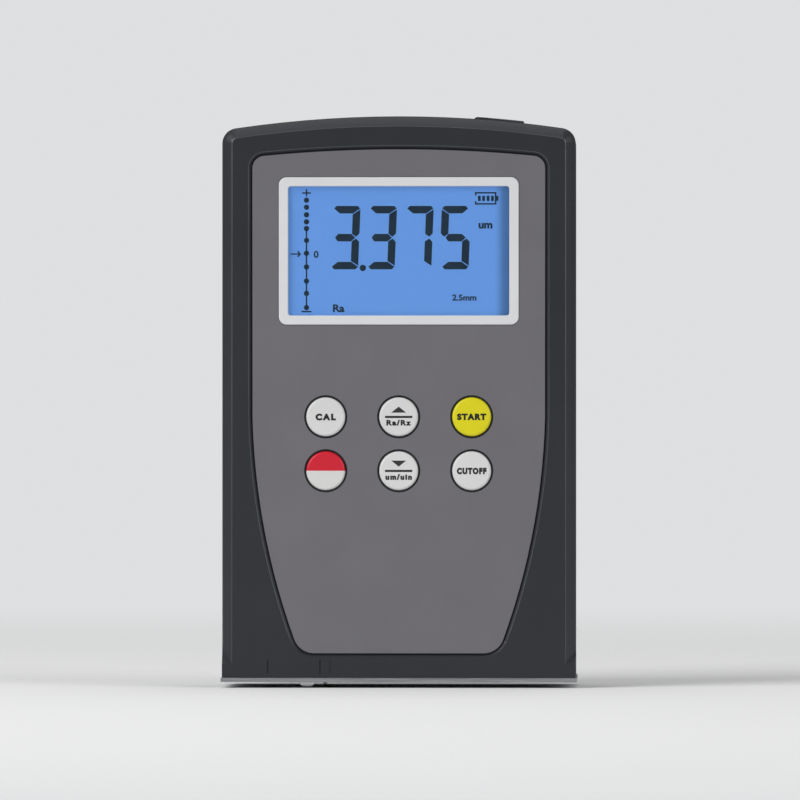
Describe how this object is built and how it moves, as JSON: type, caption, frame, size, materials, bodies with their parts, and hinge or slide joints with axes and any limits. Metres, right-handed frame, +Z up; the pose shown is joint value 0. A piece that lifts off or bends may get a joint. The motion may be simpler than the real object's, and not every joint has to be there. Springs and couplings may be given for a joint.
{
  "type": "surface roughness tester",
  "caption": "Upright pocket roughness tester: arched dark case with grey key panel, blue display, flat steel base and a motor-driven skid probe under a slot.",
  "frame": {"origin": "middle of the underside of the base plate, the face that stands on the work", "axes": "+Z up to the arched top, -Y out of the front with the display and keys, +X to the viewer's right"},
  "size_m": [0.0806, 0.0306, 0.1293],
  "materials": {
    "case_abs": "fine moulded texture",
    "base_steel": "ground",
    "panel_film": "matt printed film",
    "bezel_abs": "satin white",
    "lens_acrylic": "clear polished",
    "lcd_glass": "backlit blue",
    "light_guide": "clear moulded",
    "elastomer": "matt",
    "board_laminate": "green solder mask",
    "chip_epoxy": "matt epoxy",
    "screw_steel": "zinc plated",
    "socket_nylon": "matt",
    "rod_steel": "ground",
    "cover_rubber": "satin",
    "contact_nickel": "nickel plated",
    "lead_sheath": "satin",
    "frame_aluminium": "clear anodised",
    "bush_bronze": "turned",
    "motor_steel": "drawn",
    "carriage_acetal": "machined",
    "probe_steel": "turned",
    "skid_steel": "polished",
    "coil_copper": "enamelled winding",
    "diamond": "polished",
    "key_white": "satin",
    "key_yellow": "satin",
    "key_red": "satin",
    "plunger_nylon": "matt",
    "cell_wrap": "printed wrap over a steel can"
  },
  "bodies": {
    "case": {"front_shell": "case_abs", "rear_shell": "case_abs", "base_plate": "base_steel", "front_panel": "panel_film", "display_bezel": "bezel_abs", "display_lens": "lens_acrylic", "lcd_glass": "lcd_glass", "lcd_backlight": "light_guide", "lcd_connectors": "elastomer", "main_board": "board_laminate", "board_components": "chip_epoxy", "key_switches": "chip_epoxy", "board_screws": "screw_steel", "case_screws": "screw_steel", "base_screws": "screw_steel", "drive_screws": "screw_steel", "data_socket": "socket_nylon", "port_pin": "rod_steel", "battery_contacts": "contact_nickel", "battery_leads": "lead_sheath", "motor_leads": "lead_sheath", "drive_frame": "frame_aluminium", "guide_rods": "rod_steel", "screw_bushes": "bush_bronze", "drive_gearbox": "bush_bronze", "drive_motor": "motor_steel", "limit_switches": "chip_epoxy", "battery_cell_1": "cell_wrap", "battery_cell_2": "cell_wrap", "battery_cell_3": "cell_wrap", "battery_cell_4": "cell_wrap"},
    "door": {"battery_door": "case_abs", "door_screws": "screw_steel"},
    "cover": {"port_cover": "cover_rubber"},
    "screw": {"lead_screw": "rod_steel"},
    "carriage": {"carriage": "carriage_acetal", "drive_nut": "bush_bronze", "pivot_pin": "rod_steel", "pickup_spring": "contact_nickel"},
    "probe": {"probe_tube": "probe_steel", "skid": "skid_steel", "sensor_coils": "coil_copper", "stylus_pin": "rod_steel"},
    "stylus": {"stylus_lever": "probe_steel", "stylus_tip": "diamond"},
    "cal_key": {"key_cal": "key_white", "plunger_cal": "plunger_nylon"},
    "up_key": {"key_up": "key_white", "plunger_up": "plunger_nylon"},
    "start_key": {"key_start": "key_yellow", "plunger_start": "plunger_nylon"},
    "power_key": {"key_power": "key_red", "plunger_power": "plunger_nylon"},
    "down_key": {"key_down": "key_white", "plunger_down": "plunger_nylon"},
    "cutoff_key": {"key_cutoff": "key_white", "plunger_cutoff": "plunger_nylon"}
  },
  "joints": [
    {"name": "cal_press", "type": "slide", "parent": "case", "child": "cal_key", "axis": [0, 1, 0], "range_m": [0, 0.0005], "stiffness_N_per_m": 400, "springref_m": -0.001},
    {"name": "up_press", "type": "slide", "parent": "case", "child": "up_key", "axis": [0, 1, 0], "range_m": [0, 0.0005], "stiffness_N_per_m": 400, "springref_m": -0.001},
    {"name": "start_press", "type": "slide", "parent": "case", "child": "start_key", "axis": [0, 1, 0], "range_m": [0, 0.0005], "stiffness_N_per_m": 400, "springref_m": -0.001},
    {"name": "power_press", "type": "slide", "parent": "case", "child": "power_key", "axis": [0, 1, 0], "range_m": [0, 0.0005], "stiffness_N_per_m": 400, "springref_m": -0.001},
    {"name": "down_press", "type": "slide", "parent": "case", "child": "down_key", "axis": [0, 1, 0], "range_m": [0, 0.0005], "stiffness_N_per_m": 400, "springref_m": -0.001},
    {"name": "cutoff_press", "type": "slide", "parent": "case", "child": "cutoff_key", "axis": [0, 1, 0], "range_m": [0, 0.0005], "stiffness_N_per_m": 400, "springref_m": -0.001},
    {"name": "cover_hinge", "type": "hinge", "parent": "case", "child": "cover", "pos_m": [0.0178, -0.0041, 0.12693], "axis": [0, -1, 0], "range_deg": [0, 100]},
    {"name": "door_lift", "type": "slide", "parent": "case", "child": "door", "axis": [0, 1, 0], "range_m": [0, 0.025]},
    {"name": "carriage_slide", "type": "slide", "parent": "case", "child": "carriage", "axis": [1, 0, 0], "range_m": [-0.0094, 0.0044]},
    {"name": "screw_turn", "type": "hinge", "parent": "case", "child": "screw", "pos_m": [0, 0.0061, 0.013], "axis": [1, 0, 0], "range_deg": [-1700, 800]},
    {"name": "probe_lift", "type": "hinge", "parent": "carriage", "child": "probe", "pos_m": [-0.001, -0.005, 0.0082], "axis": [0, 1, 0], "range_deg": [0, 4.2], "stiffness_Nm_per_rad": 0.01, "springref_deg": -17.19, "deforming": ["pickup_spring"]},
    {"name": "stylus_lift", "type": "hinge", "parent": "probe", "child": "stylus", "pos_m": [-0.011, -0.005, 0.0074], "axis": [0, 1, 0], "range_deg": [0, 1.2], "stiffness_Nm_per_rad": 0.0001, "springref_deg": -2.86}
  ],
  "couplings": [
    {"joint": "screw_turn", "follows": "carriage_slide", "rad_per_m": 3141.6}
  ]
}
